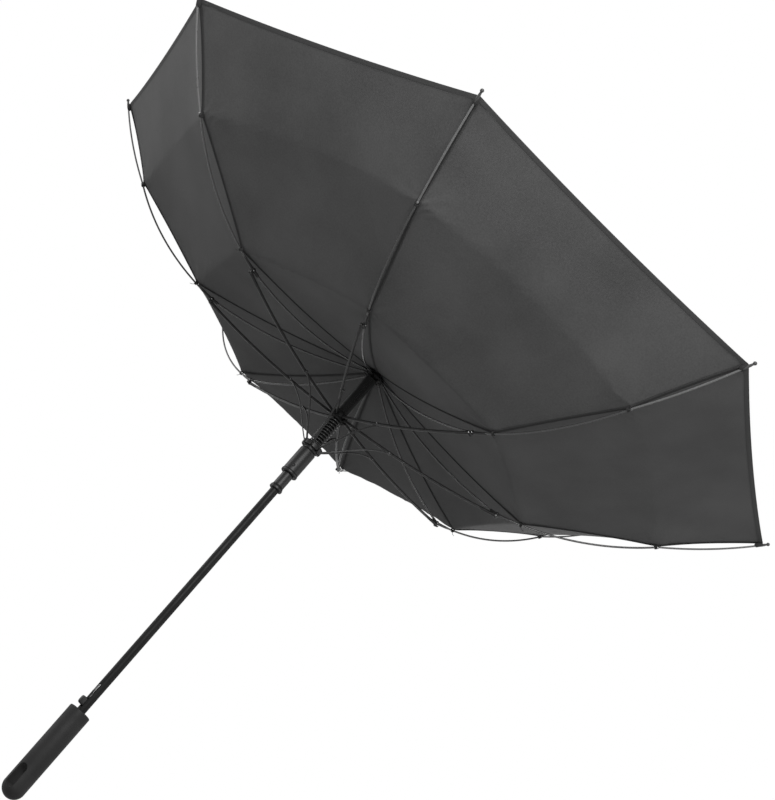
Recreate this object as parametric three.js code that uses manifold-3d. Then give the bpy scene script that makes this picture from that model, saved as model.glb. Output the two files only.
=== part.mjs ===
// Golf umbrella with eight ribs and an automatic runner, open, with its canopy blown inside out.
// Millimetres, +Z up along the shaft. The origin is the bottom of the handle on the shaft's axis.
// Each rib stands in its own plane through the axis. In that plane X is the distance from the
// axis, Z is the height and Y points sideways, in the direction that the ribs are counted in.
import * as THREE from 'three';
import { mergeVertices } from 'three/addons/utils/BufferGeometryUtils.js';
import Module from 'manifold-3d';

const wasm = await Module();
wasm.setup();

// ---- driving dimensions ----
const RIB_COUNT = 8;
const SECTOR = (2 * Math.PI) / RIB_COUNT;
const FIRST_RIB_ANGLE = THREE.MathUtils.degToRad(22.5);
const CLEARANCE = 0.3;

// shaft and handle
const SHAFT_RADIUS = 7;
const SHAFT_WALL = 0.9;
const SHAFT_BOTTOM = 60;
const SHAFT_TOP = 892;
const HANDLE_RADIUS = 17.7;
const HANDLE_TOP = 153.8;
const HANDLE_EDGE_RADIUS = 2.5;
const HANDLE_BORE_FLOOR = 58;
const STRAP_SLOT = { width: 15, length: 40, centre: 31 };

// release button and catch, in one slot in the shaft just above the handle
const BUTTON_ANGLE = THREE.MathUtils.degToRad(-19);
const BUTTON = { bottom: 160.5, top: 173.5, width: 5, reach: 16.2 };
const CATCH = { bottom: 175, top: 200, width: 3.6, thickness: 1.2 };
const SHAFT_SLOT = { bottom: 159.5, top: 201, width: 5.8 };

// crown, where the ribs pivot
const CROWN_Z = 835;
const PIVOT_RADIUS = 14;
const NOTCH_RADIUS = 17;
const NOTCH_THICKNESS = 8;
const NOTCH_SLOT_WIDTH = 3.6;
const FERRULE_TOP = 902;

// stretcher hub and runner, which slide on the shaft
const BORE_RADIUS = SHAFT_RADIUS + CLEARANCE;
const HUB_PIVOT_Z = 745.7;
const HUB_RADIUS = 16.5;
const HUB_NECK_RADIUS = 10.8;
const HUB_SLOT = { width: 7, offset: -2.3 }; // takes a stretcher, and lets a strut past
const RUNNER_PIVOT_Z = 680;
const RUNNER_BARREL_BOTTOM = 622;
const RUNNER_BARREL_RADIUS = 13.5;
const RUNNER_LIP_RADIUS = RUNNER_BARREL_RADIUS + 0.8;
const RUNNER_FLANGE_RADIUS = 17.5;
const RUNNER_NECK_RADIUS = 10.9;
const RUNNER_SLOT_WIDTH = 3.4;
const FLANGE_THICKNESS = 8;
const SLEEVE_BOTTOM = 590;
const SLEEVE_RADIUS = 9.3;
const SLEEVE_MOUTH_RADIUS = 11;
const SPRING = { inner: 8, outer: 11.5 };
const BUFFER_RADIUS = 10;

// one rib: crown pivot, stretcher joint, two fabric ties and the tip, as distance from axis, height
const JOINT = [283, 775];
const INNER_TIE = [320, 787.6];
const OUTER_TIE = [505.6, 877.2];
const TIP = [626.5, 981.4];
const LEAN_ANGLE = THREE.MathUtils.degToRad(175); // the side that the wind lifts most
const MID_LEAN = THREE.MathUtils.degToRad(6.8); // extra turn of the bent parts on that side
const OUTER_LEAN = THREE.MathUtils.degToRad(1.6);
const DEEPEST_RIB = 3; // one rib that the gust has bent further than its neighbours
const DEEPEST_MID_TURN = THREE.MathUtils.degToRad(5.2);
const DEEPEST_OUTER_TURN = THREE.MathUtils.degToRad(4);
const INNER_BULGE = 4; // how far the bent rods stand off their chords, on the handle's side
const MID_BULGE = 12;
const OUTER_BULGE = 5;
const RIB_RADIUS = 1.6;
const ROD_RADIUS = 1.5;
const TIP_OVERHANG = 8;
const TIP_CAP_RADIUS = 2.2;
const KNUCKLE = { radius: 4, thickness: 3.2 };
const FLEX_KNOB_RADIUS = 2.4;

// stretchers and struts lie beside the rib's plane, so that they fold past the rib
const JOINT_PIN_DROP = 3.7; // the stretcher's pin is under the rib
const STRETCHER_OFFSET = -3.8;
const STRETCHER_RADIUS = 1.6;
const STRETCHER_BULGE = 6.6;
const STRETCHER_EYE = { radius: 3.2, thickness: 3.2 };
const STRETCHER_SLEEVE = { radius: 2, length: 26 }; // thicker end beside the rib
const STRUT_OFFSET = -0.4;
const STRUT = { width: 2.6, thickness: 1.2 };
const STRUT_RIVET_DISTANCE = 84; // along the stretcher from the hub
const STRUT_BEND = 13.9; // how far the strut's curve is drawn to the crown's side near the rivet

// canopy
const FABRIC_THICKNESS = 1.2;
const FABRIC_CLEARANCE = 4.6; // above the middle of a rib where it is tied
const CANOPY_CENTRE = [10.5, 842.2];
const HEM_DEPTH = 14; // how far the hem curves in between two tips
const GORE_COLUMNS = 4;

// ---- materials ----
function finish(colour, roughness, metalness) {
  return new THREE.MeshStandardMaterial({ color: colour, roughness, metalness });
}
const PAINTED_BLACK = finish(0x17181a, 0.45, 0.6);
const PLASTIC_BLACK = finish(0x1c1d1f, 0.6, 0);
const SOFT_GRIP = finish(0x2b2c2f, 0.85, 0);
const RIB_BLACK = finish(0x1f2022, 0.4, 0.2);
const RIB_GREY = finish(0x8d8f92, 0.4, 0.1);
const BRIGHT_STEEL = finish(0xb5b7ba, 0.3, 0.9);
const POLYESTER = finish(0x3f4042, 0.8, 0);

// ---- solids ----
function toSolid(geometry) {
  const bare = geometry.clone();
  for (const name of ['normal', 'uv']) bare.deleteAttribute(name);
  const merged = mergeVertices(bare, 1e-4);
  const index = merged.index.array;
  const mesh = new wasm.Mesh({
    numProp: 3,
    vertProperties: new Float32Array(merged.attributes.position.array),
    triVerts: new Uint32Array(index),
  });
  return new wasm.Manifold(mesh);
}

function toGeometry(manifold) {
  const mesh = manifold.getMesh();
  const geometry = new THREE.BufferGeometry();
  const positions = new Float32Array(mesh.vertProperties);
  geometry.setAttribute('position', new THREE.BufferAttribute(positions, 3));
  geometry.setIndex(new THREE.BufferAttribute(new Uint32Array(mesh.triVerts), 1));
  return geometry;
}

function join(...geometries) {
  return toGeometry(geometries.map(toSolid).reduce((sum, next) => sum.add(next)));
}

function cut(geometry, ...cutters) {
  const whole = toSolid(geometry);
  return toGeometry(cutters.map(toSolid).reduce((rest, next) => rest.subtract(next), whole));
}

// a solid turned about the Z axis from [radius, height] points
function turned(points, segments) {
  const profile = points.map(([r, z]) => new THREE.Vector2(r, z));
  return new THREE.LatheGeometry(profile, segments).rotateX(Math.PI / 2);
}

function ring(inner, outer, bottom, top, segments = 24) {
  return turned([[inner, bottom], [outer, bottom], [outer, top], [inner, top], [inner, bottom]], segments);
}

function box(sizeX, sizeY, sizeZ, x, y, z) {
  return new THREE.BoxGeometry(sizeX, sizeY, sizeZ).translate(x, y, z);
}

// a disc across the rib's plane, centred on point, with its middle at y
function disc([x, z], radius, thickness, y, sides = 6) {
  return new THREE.CylinderGeometry(radius, radius, thickness, sides).translate(x, y, z);
}

// a bar along a curve, with a section of [x, y] corners
function bar(curve, corners, steps) {
  const section = new THREE.Shape(corners.map(([x, y]) => new THREE.Vector2(x, y)));
  return new THREE.ExtrudeGeometry(section, { steps, extrudePath: curve, bevelEnabled: false });
}

function rod(curve, radius, steps, sides = 6) {
  const corners = [];
  for (let i = 0; i < sides; i += 1) {
    const turn = (2 * Math.PI * (i + 0.5)) / sides;
    corners.push([radius * Math.cos(turn), radius * Math.sin(turn)]);
  }
  return bar(curve, corners, steps);
}

// ---- curves in a rib's plane ----
const vectorAt = ([x, z], y = 0) => new THREE.Vector3(x, y, z);
const minus = (a, b) => [a[0] - b[0], a[1] - b[1]];
const plus = (a, b, scale = 1) => [a[0] + b[0] * scale, a[1] + b[1] * scale];
const lengthOf = (a) => Math.hypot(a[0], a[1]);
const directionOf = (a) => [a[0] / lengthOf(a), a[1] / lengthOf(a)];
const towards = (from, to, distance) => plus(from, directionOf(minus(to, from)), distance);
const turnedBy = ([x, z], turn) => [
  x * Math.cos(turn) - z * Math.sin(turn),
  x * Math.sin(turn) + z * Math.cos(turn),
];

// the arc from start to end that stands bulge away from its chord, on the right-hand side
function bowed(start, end, bulge, y = 0) {
  const along = directionOf(minus(end, start));
  const middle = [(start[0] + end[0]) / 2, (start[1] + end[1]) / 2];
  const handle = plus(middle, [along[1], -along[0]], 2 * bulge);
  return new THREE.QuadraticBezierCurve3(vectorAt(start, y), vectorAt(handle, y), vectorAt(end, y));
}

// the part of a curve between two distances from its ends, as a smooth curve of its own
function trimmed(curve, fromStart, fromEnd, count = 10) {
  const length = curve.getLength();
  const points = [];
  for (let i = 0; i <= count; i += 1) {
    const distance = fromStart + ((length - fromStart - fromEnd) * i) / count;
    points.push(curve.getPointAt(Math.min(distance / length, 1)));
  }
  return new THREE.CatmullRomCurve3(points);
}

const ribAngle = (i) => FIRST_RIB_ANGLE + i * SECTOR;

// the ties and tip of one rib, turned up or down about its joint by the wind
function ribPoints(i) {
  const lean = Math.cos(ribAngle(i) - LEAN_ANGLE);
  const deepest = i === DEEPEST_RIB;
  const midTurn = MID_LEAN * lean + (deepest ? DEEPEST_MID_TURN : 0);
  const outerTurn = OUTER_LEAN * lean + (deepest ? DEEPEST_OUTER_TURN : 0);
  const outerTie = plus(JOINT, turnedBy(minus(OUTER_TIE, JOINT), midTurn));
  return {
    innerTie: plus(JOINT, turnedBy(minus(INNER_TIE, JOINT), midTurn)),
    outerTie,
    tip: plus(outerTie, turnedBy(minus(TIP, OUTER_TIE), outerTurn)),
  };
}

// ---- fixed pieces on the shaft ----
function shaft() {
  const tube = ring(SHAFT_RADIUS - SHAFT_WALL, SHAFT_RADIUS, SHAFT_BOTTOM, SHAFT_TOP, 28);
  const height = SHAFT_SLOT.top - SHAFT_SLOT.bottom;
  const middle = SHAFT_SLOT.bottom + height / 2;
  const slot = box(SHAFT_RADIUS, SHAFT_SLOT.width, height, SHAFT_RADIUS, 0, middle);
  return cut(tube, slot.rotateZ(BUTTON_ANGLE));
}

function handle() {
  const profile = [[0, 0]];
  for (let i = 1; i <= 6; i += 1) {
    const turn = (Math.PI / 2) * (i / 6);
    profile.push([HANDLE_RADIUS * Math.sin(turn), HANDLE_RADIUS * (1 - Math.cos(turn))]);
  }
  for (let i = 0; i <= 3; i += 1) {
    const turn = (Math.PI / 2) * (i / 3);
    profile.push([
      HANDLE_RADIUS - HANDLE_EDGE_RADIUS * (1 - Math.cos(turn)),
      HANDLE_TOP - HANDLE_EDGE_RADIUS * (1 - Math.sin(turn)),
    ]);
  }
  profile.push([BORE_RADIUS, HANDLE_TOP], [BORE_RADIUS, HANDLE_BORE_FLOOR], [0, HANDLE_BORE_FLOOR]);
  const { width, length, centre } = STRAP_SLOT;
  const straight = length - width;
  const slotDepth = 4 * HANDLE_RADIUS;
  const slotEnd = (z) => new THREE.CylinderGeometry(width / 2, width / 2, slotDepth, 14)
    .rotateZ(Math.PI / 2)
    .translate(0, 0, z);
  return cut(
    turned(profile, 28),
    box(slotDepth, width, straight, 0, 0, centre),
    slotEnd(centre - straight / 2),
    slotEnd(centre + straight / 2),
  );
}

// the thumb tab, with a foot inside the shaft that keeps it in
function button() {
  const { bottom, top, width, reach } = BUTTON;
  const height = top - bottom;
  const middle = (bottom + top) / 2;
  const stemLength = reach - width / 2;
  const stem = box(stemLength, width, height, stemLength / 2, 0, middle);
  const nose = new THREE.CylinderGeometry(height / 2, height / 2, width, 20)
    .scale(width / height, 1, 1)
    .translate(stemLength, 0, middle);
  return join(stem, nose);
}

function catchSpring() {
  const { bottom, top, width, thickness } = CATCH;
  const x = SHAFT_RADIUS - 0.1 - thickness / 2;
  return box(thickness, width, top - bottom, x, 0, (bottom + top) / 2);
}

// a slotted disc round the shaft whose slots each take one rod's end
function slottedDisc(radius, bottom, top, { width, offset }, slotFloor) {
  const slots = [];
  for (let i = 0; i < RIB_COUNT; i += 1) {
    const reach = radius + 2 - slotFloor;
    const slot = box(reach, width, 2 * (top - bottom), slotFloor + reach / 2, offset, 0);
    slots.push(slot.translate(0, 0, (top + bottom) / 2).rotateZ(ribAngle(i)));
  }
  return cut(ring(BORE_RADIUS, radius, bottom, top, 32), ...slots);
}

function crownNotch() {
  const half = NOTCH_THICKNESS / 2;
  const floor = PIVOT_RADIUS - NOTCH_SLOT_WIDTH + 0.2;
  const slot = { width: NOTCH_SLOT_WIDTH, offset: 0 };
  return slottedDisc(NOTCH_RADIUS, CROWN_Z - half, CROWN_Z + half, slot, floor);
}

function ferrule() {
  const foot = CANOPY_CENTRE[1] + FABRIC_THICKNESS + 1;
  return turned([
    [BORE_RADIUS, foot], [15, foot], [15.5, foot + 2], [13, foot + 4.5], [10.5, foot + 9],
    [9, FERRULE_TOP - 12], [8.6, FERRULE_TOP - 3], [6, FERRULE_TOP], [0, FERRULE_TOP],
    [0, SHAFT_TOP + CLEARANCE], [BORE_RADIUS, SHAFT_TOP + CLEARANCE], [BORE_RADIUS, foot],
  ], 28);
}

// the close-wound buffer that the hub is pushed up against
function bufferSpring() {
  const bottom = HUB_PIVOT_Z + 8.5;
  const top = CROWN_Z - NOTCH_THICKNESS / 2 - CLEARANCE;
  return ring(BORE_RADIUS, BUFFER_RADIUS, bottom, top, 24);
}

// ---- pieces that slide on the shaft ----
function stretcherHub() {
  const bottom = HUB_PIVOT_Z - FLANGE_THICKNESS / 2;
  const top = HUB_PIVOT_Z + FLANGE_THICKNESS / 2;
  const neck = ring(BORE_RADIUS, HUB_NECK_RADIUS, bottom - 3, top + 4, 32);
  return join(slottedDisc(HUB_RADIUS, bottom, top, HUB_SLOT, HUB_NECK_RADIUS), neck);
}

function openingSpring() {
  return ring(SPRING.inner, SPRING.outer, RUNNER_PIVOT_Z + 5.5, HUB_PIVOT_Z - 7.5, 24);
}

function runner() {
  const foot = RUNNER_BARREL_BOTTOM;
  const bottom = RUNNER_PIVOT_Z - FLANGE_THICKNESS / 2;
  const top = RUNNER_PIVOT_Z + FLANGE_THICKNESS / 2;
  const barrel = turned([
    [BORE_RADIUS, foot], [RUNNER_BARREL_RADIUS, foot],
    [RUNNER_LIP_RADIUS, foot + 1], [RUNNER_LIP_RADIUS, foot + 4],
    [RUNNER_BARREL_RADIUS, foot + 5], [RUNNER_BARREL_RADIUS, bottom - 6],
    [RUNNER_BARREL_RADIUS - 2, bottom - 4], [RUNNER_BARREL_RADIUS - 2, bottom],
    [RUNNER_NECK_RADIUS, bottom + 0.5], [RUNNER_NECK_RADIUS, top + 1], [BORE_RADIUS, top + 1],
    [BORE_RADIUS, foot],
  ], 32);
  const slot = { width: RUNNER_SLOT_WIDTH, offset: STRUT_OFFSET };
  return join(slottedDisc(RUNNER_FLANGE_RADIUS, bottom, top, slot, RUNNER_NECK_RADIUS), barrel);
}

function runnerSleeve() {
  const top = RUNNER_BARREL_BOTTOM - CLEARANCE;
  return turned([
    [BORE_RADIUS, SLEEVE_BOTTOM], [SLEEVE_MOUTH_RADIUS, SLEEVE_BOTTOM],
    [SLEEVE_MOUTH_RADIUS, SLEEVE_BOTTOM + 4], [SLEEVE_RADIUS, SLEEVE_BOTTOM + 8],
    [SLEEVE_RADIUS, top], [BORE_RADIUS, top], [BORE_RADIUS, SLEEVE_BOTTOM],
  ], 28);
}

// ---- pieces of one rib, in its own plane ----
const CROWN_PIVOT = [PIVOT_RADIUS, CROWN_Z];
const HUB_PIVOT = [PIVOT_RADIUS, HUB_PIVOT_Z];
const RUNNER_PIVOT = [PIVOT_RADIUS, RUNNER_PIVOT_Z];

function ribInner() {
  const pin = [JOINT[0], JOINT[1] - JOINT_PIN_DROP];
  return join(
    rod(bowed(CROWN_PIVOT, JOINT, INNER_BULGE), RIB_RADIUS, 5),
    disc(CROWN_PIVOT, 2.6, 2.8, 0),
    disc(JOINT, KNUCKLE.radius, KNUCKLE.thickness, 0, 12),
    disc(pin, KNUCKLE.radius - 1, KNUCKLE.thickness, 0, 10),
  );
}

function ribMid(i) {
  const { outerTie } = ribPoints(i);
  const whole = bowed(JOINT, outerTie, MID_BULGE);
  const wire = trimmed(whole, KNUCKLE.radius + 0.4, 0);
  const collar = whole.getPointAt(lengthOf(minus(INNER_TIE, JOINT)) / whole.getLength());
  return join(
    rod(wire, ROD_RADIUS, 7),
    disc([collar.x, collar.z], 2.3, 3.4, 0),
    disc(outerTie, FLEX_KNOB_RADIUS, 3.4, 0),
  );
}

function ribOuter(i) {
  const { outerTie, tip } = ribPoints(i);
  const end = towards(tip, outerTie, -TIP_OVERHANG);
  const wire = trimmed(bowed(outerTie, end, OUTER_BULGE), FLEX_KNOB_RADIUS + 0.4, 1);
  const capLine = new THREE.LineCurve3(wire.getPointAt(0.9), vectorAt(end));
  return join(
    rod(wire, ROD_RADIUS, 5),
    rod(capLine, TIP_CAP_RADIUS, 1),
    new THREE.SphereGeometry(TIP_CAP_RADIUS + 0.5, 7, 5).translate(end[0], 0, end[1]),
  );
}

const stretcherLine = bowed(
  HUB_PIVOT,
  [JOINT[0], JOINT[1] - JOINT_PIN_DROP],
  STRETCHER_BULGE,
  STRETCHER_OFFSET,
);
const rivetPoint = stretcherLine.getPointAt(STRUT_RIVET_DISTANCE / stretcherLine.getLength());
const STRUT_RIVET = [rivetPoint.x, rivetPoint.z];

function stretcher() {
  const sleeve = trimmed(stretcherLine, stretcherLine.getLength() - STRETCHER_SLEEVE.length, 2, 3);
  const end = stretcherLine.v2;
  return join(
    rod(stretcherLine, STRETCHER_RADIUS, 6),
    rod(sleeve, STRETCHER_SLEEVE.radius, 2),
    disc(HUB_PIVOT, 2.3, 3, STRETCHER_OFFSET),
    disc(STRUT_RIVET, 2.6, 3.2, STRETCHER_OFFSET),
    disc([end.x, end.z], STRETCHER_EYE.radius, STRETCHER_EYE.thickness, STRETCHER_OFFSET, 10),
  );
}

// a flat strip that leaves the runner straight and bends over towards its rivet
function strut() {
  const along = minus(STRUT_RIVET, RUNNER_PIVOT);
  const up = directionOf([-along[1], along[0]]);
  const near = plus(RUNNER_PIVOT, along, 1 / 3);
  const far = plus(plus(RUNNER_PIVOT, along, 2 / 3), up, STRUT_BEND);
  const line = new THREE.CubicBezierCurve3(
    ...[RUNNER_PIVOT, near, far, STRUT_RIVET].map((point) => vectorAt(point, STRUT_OFFSET)),
  );
  const x = STRUT.thickness / 2;
  const y = STRUT.width / 2;
  return join(
    bar(line, [[-x, -y], [x, -y], [x, y], [-x, y]], 8),
    disc(RUNNER_PIVOT, 2.4, STRUT.width, STRUT_OFFSET),
    disc(STRUT_RIVET, 2.2, STRUT.width, STRUT_OFFSET),
  );
}

// ---- canopy ----
// The fabric's line over one rib: straight from the crown to the first tie and between ties.
function fabricLine(i) {
  const { innerTie, outerTie, tip } = ribPoints(i);
  const lift = ([r, z]) => [r, z + FABRIC_CLEARANCE];
  const corners = [CANOPY_CENTRE, lift(innerTie), lift(outerTie), lift(tip)];
  const stepsBetween = [4, 3, 3];
  const line = [corners[0]];
  for (let k = 0; k < 3; k += 1) {
    for (let j = 1; j <= stepsBetween[k]; j += 1) {
      line.push(plus(corners[k], minus(corners[k + 1], corners[k]), j / stepsBetween[k]));
    }
  }
  return line;
}

// One gore, between rib i and the next. Its rows are straight from rib to rib, and the last rows
// draw in towards the crown in the middle, so that the hem curves.
function gore(i) {
  const lines = [fabricLine(i), fabricLine((i + 1) % RIB_COUNT)];
  const rows = lines[0].length;
  const onRib = (side, row) => {
    const turn = ribAngle(i + side);
    const [r, z] = lines[side][row];
    const inward = (side === 0 ? 1 : -1) * CLEARANCE;
    return new THREE.Vector3(
      r * Math.cos(turn) - inward * Math.sin(turn),
      r * Math.sin(turn) + inward * Math.cos(turn),
      z,
    );
  };
  const pointAt = (row, column) => {
    const across = column / GORE_COLUMNS;
    const point = onRib(0, row).lerp(onRib(1, row), across);
    if (row === 0) return point;
    const before = onRib(0, row - 1).lerp(onRib(1, row - 1), across);
    const drawn = HEM_DEPTH * 4 * across * (1 - across) * (row / (rows - 1)) ** 3;
    return point.add(before.sub(point).setLength(drawn));
  };
  const vertices = [];
  for (const height of [0, FABRIC_THICKNESS]) {
    for (let row = 0; row < rows; row += 1) {
      for (let column = 0; column <= GORE_COLUMNS; column += 1) {
        const point = pointAt(row, column);
        vertices.push(point.x, point.y, point.z + height);
      }
    }
  }
  const width = GORE_COLUMNS + 1;
  const layer = rows * width;
  const triangles = [];
  const quad = (a, b, c, d) => triangles.push(a, b, c, a, c, d);
  for (let row = 0; row < rows - 1; row += 1) {
    for (let column = 0; column < GORE_COLUMNS; column += 1) {
      const a = row * width + column;
      quad(a, a + 1, a + width + 1, a + width);
      quad(layer + a, layer + a + width, layer + a + width + 1, layer + a + 1);
    }
    const left = row * width;
    const right = left + GORE_COLUMNS;
    quad(left, left + width, layer + left + width, layer + left);
    quad(right + width, right, layer + right, layer + right + width);
  }
  for (let column = 0; column < GORE_COLUMNS; column += 1) {
    const last = (rows - 1) * width + column;
    quad(column + 1, column, layer + column, layer + column + 1);
    quad(last, last + 1, layer + last + 1, layer + last);
  }
  const geometry = new THREE.BufferGeometry();
  geometry.setAttribute('position', new THREE.BufferAttribute(new Float32Array(vertices), 3));
  geometry.setIndex(triangles);
  return geometry;
}

// ---- the umbrella ----
const umbrella = new THREE.Group();

function add(name, geometry, material, turn = 0) {
  const mesh = new THREE.Mesh(geometry, material);
  mesh.name = name;
  mesh.rotation.z = turn;
  umbrella.add(mesh);
}

add('shaft', shaft(), PAINTED_BLACK);
add('handle', handle(), SOFT_GRIP);
add('release_button', button(), PLASTIC_BLACK, BUTTON_ANGLE);
add('catch_spring', catchSpring(), BRIGHT_STEEL, BUTTON_ANGLE);
add('crown_notch', crownNotch(), PLASTIC_BLACK);
add('ferrule', ferrule(), PLASTIC_BLACK);
add('buffer_spring', bufferSpring(), PAINTED_BLACK);
add('stretcher_hub', stretcherHub(), PLASTIC_BLACK);
add('opening_spring', openingSpring(), BRIGHT_STEEL);
add('runner', runner(), PLASTIC_BLACK);
add('runner_sleeve', runnerSleeve(), PLASTIC_BLACK);

for (let i = 0; i < RIB_COUNT; i += 1) {
  const number = i + 1;
  const turn = ribAngle(i);
  add(`rib_inner_${number}`, ribInner(), RIB_BLACK, turn);
  add(`rib_mid_${number}`, ribMid(i), RIB_BLACK, turn);
  add(`rib_outer_${number}`, ribOuter(i), RIB_GREY, turn);
  add(`stretcher_${number}`, stretcher(), RIB_BLACK, turn);
  add(`strut_${number}`, strut(), BRIGHT_STEEL, turn);
  add(`canopy_gore_${number}`, gore(i), POLYESTER);
}

export default umbrella;
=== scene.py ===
"""Golf umbrella, open and blown inside out: its looks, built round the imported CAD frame.

Metres, +Z up along the shaft, as in the frame. Each rib stands in its own plane through the
shaft's axis, and a point in that plane is (distance from the axis, height)."""

import math
from itertools import product

import bmesh
import bpy
import numpy as np
from mathutils import Matrix, Vector
from numpy.linalg import norm


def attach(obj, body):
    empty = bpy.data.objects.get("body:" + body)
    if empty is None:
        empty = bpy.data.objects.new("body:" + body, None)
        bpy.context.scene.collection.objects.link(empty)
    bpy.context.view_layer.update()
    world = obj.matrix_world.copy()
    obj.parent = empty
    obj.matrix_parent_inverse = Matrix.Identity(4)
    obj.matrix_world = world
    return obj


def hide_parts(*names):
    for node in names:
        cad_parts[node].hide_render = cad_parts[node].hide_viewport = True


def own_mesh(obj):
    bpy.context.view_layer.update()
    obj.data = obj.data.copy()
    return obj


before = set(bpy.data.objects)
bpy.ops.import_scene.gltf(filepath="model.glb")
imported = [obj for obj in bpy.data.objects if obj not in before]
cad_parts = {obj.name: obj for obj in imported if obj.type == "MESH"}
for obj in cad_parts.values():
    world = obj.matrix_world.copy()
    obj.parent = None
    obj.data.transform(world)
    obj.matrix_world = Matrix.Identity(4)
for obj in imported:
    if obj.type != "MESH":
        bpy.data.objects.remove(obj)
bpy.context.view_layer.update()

# ---- driving dimensions, as in the CAD source ----
RIBS = 8
SECTOR = 2 * math.pi / RIBS
FIRST_RIB_ANGLE = SECTOR / 2

SHAFT_RADIUS = 0.007
SHAFT_TOP = 0.892
BORE_RADIUS = 0.0073
HANDLE_RADIUS = 0.0177
HANDLE_TOP = 0.1538
BUTTON_ANGLE = math.radians(-19)
BUTTON_Z, CATCH_Z = 0.1670, 0.1880  # the middles of their slots
SHAFT_SLOT_WIDTH = 0.0058

CROWN_PIVOT = (0.014, 0.835)
HUB_PIVOT = (0.014, 0.7457)
RUNNER_PIVOT = (0.014, 0.680)
BARREL_BOTTOM = 0.622
SLEEVE_BOTTOM = 0.590
FERRULE_TOP = 0.902

JOINT = (0.283, 0.775)
INNER_TIE = (0.320, 0.7876)
OUTER_TIE = (0.5056, 0.8772)
TIP = (0.6265, 0.9814)
LEAN_ANGLE = math.radians(175)  # the side that the wind lifts most
MID_LEAN = math.radians(6.8)
OUTER_LEAN = math.radians(1.6)
DEEPEST_RIB = 3  # one rib that the gust has bent further than its neighbours
DEEPEST_MID_TURN = math.radians(5.2)
DEEPEST_OUTER_TURN = math.radians(4)
INNER_BULGE = 0.015  # of the sprung rib
MID_BULGE = 0.017
OUTER_BULGE = 0.005
RIB_RADIUS = 0.0016
ROD_RADIUS = 0.0015
TIP_OVERHANG = 0.008

PIN = (JOINT[0], JOINT[1] - 0.0037)  # the stretcher's pin, under the rib
STRETCHER_SIDE = -0.0038  # how far the stretcher stands beside the rib's plane
STRETCHER_BULGE = 0.0066
STRUT_SIDE = -0.0004
STRUT_BEND = 0.0139
STRUT_RIVET_DISTANCE = 0.084

# ---- canopy ----
CROWN_RING = (0.0105, 0.8424)
SEAM_BULGE = 0.007  # of the seam between crown and inner tie, where the rib's bow presses on it
FABRIC_OFF_ROD = 0.0026  # the fabric's middle above a rod's middle at a tie
FABRIC_THICKNESS = 0.0005
TAPE_UNDER = 0.0008  # from the cloth's middle to the seam tape's
BAND_IN = 0.0030  # from the hem's edge to the middle of its turned band
GORE_COLUMNS = 20
SEAM_ROWS = (26, 22, 18)  # crown to inner tie, between the ties, outer tie to tip
SEAM_TENSION = (2.2, 1.0, 0.55)  # seams and hem pull like cords: metres of the cloth's own pull
RING_TENSION = (1.6, 0.35)  # so does the cloth that is stretched straight from tie to tie
HEM_TENSION = 6.0
ALONG_TENSION = 1.15  # the cloth's pull along the ribs, against its pull across them
PUCKER_DEPTH = 0.0011
PUCKER_REACH = 0.034
THREAD_PITCH = 0.00045
STITCH_PITCH = 0.0032
STITCH_WIDTH = 0.0006
SEAM_STITCH_AT, SEAM_FOLD = 0.0032, 0.0045  # how far the stitches and the fold reach from the seam
HEM_STITCH_AT, HEM_FOLD = 0.0068, 0.0085  # and from the hem's edge


# ---- places ----
def rib_angle(i):
    return FIRST_RIB_ANGLE + i * SECTOR


def outward(i):
    return np.array([math.cos(rib_angle(i)), math.sin(rib_angle(i)), 0.0])


def sideways(i):
    return np.array([-math.sin(rib_angle(i)), math.cos(rib_angle(i)), 0.0])


def place(i, points, side=0.0):
    """Points of rib i's plane as rows of x, y, z."""
    points = np.atleast_2d(np.array(points, float))
    flat = points[:, :1] * outward(i) + side * sideways(i)
    return flat + points[:, 1:] * np.array([0.0, 0.0, 1.0])


def spot(i, point, side=0.0):
    return place(i, point, side)[0]


def turned_by(vector, turn):
    x, z = vector
    sine, cosine = math.sin(turn), math.cos(turn)
    return np.array([x * cosine - z * sine, x * sine + z * cosine])


def unit(vector):
    vector = np.array(vector, float)
    return vector / norm(vector, axis=-1, keepdims=True)


def right_of(along):
    """In a rib's plane, the side of a direction that the handle is on when it points outward."""
    return np.array([along[1], -along[0]])


def rib_points(i):
    """Joint, ties and tip of one rib: the wind lifts the outer parts more on one side."""
    lean = math.cos(rib_angle(i) - LEAN_ANGLE)
    mid_turn, outer_turn = MID_LEAN * lean, OUTER_LEAN * lean
    if i == DEEPEST_RIB:
        mid_turn += DEEPEST_MID_TURN
        outer_turn += DEEPEST_OUTER_TURN
    joint = np.array(JOINT)
    inner_tie = joint + turned_by(np.subtract(INNER_TIE, JOINT), mid_turn)
    outer_tie = joint + turned_by(np.subtract(OUTER_TIE, JOINT), mid_turn)
    tip = outer_tie + turned_by(np.subtract(TIP, OUTER_TIE), outer_turn)
    return {"joint": joint, "inner_tie": inner_tie, "outer_tie": outer_tie, "tip": tip}


def bowed(start, end, bulge, steps):
    """Points on the arc from start to end that stands bulge off its chord, on the handle's side."""
    start, end = np.array(start, float), np.array(end, float)
    control = (start + end) / 2 + 2 * bulge * right_of(unit(end - start))
    t = np.linspace(0, 1, steps + 1)[:, None]
    return (1 - t) ** 2 * start + 2 * t * (1 - t) * control + t ** 2 * end


def cubic(start, first, second, end, steps):
    t = np.linspace(0, 1, steps + 1)[:, None]
    return (
        (1 - t) ** 3 * np.array(start)
        + 3 * t * (1 - t) ** 2 * np.array(first)
        + 3 * t ** 2 * (1 - t) * np.array(second)
        + t ** 3 * np.array(end)
    )


def distances_of(line):
    """How far along the line each of its points is."""
    steps = norm(np.diff(line, axis=0), axis=1)
    return np.concatenate([[0], np.cumsum(steps)])


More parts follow.
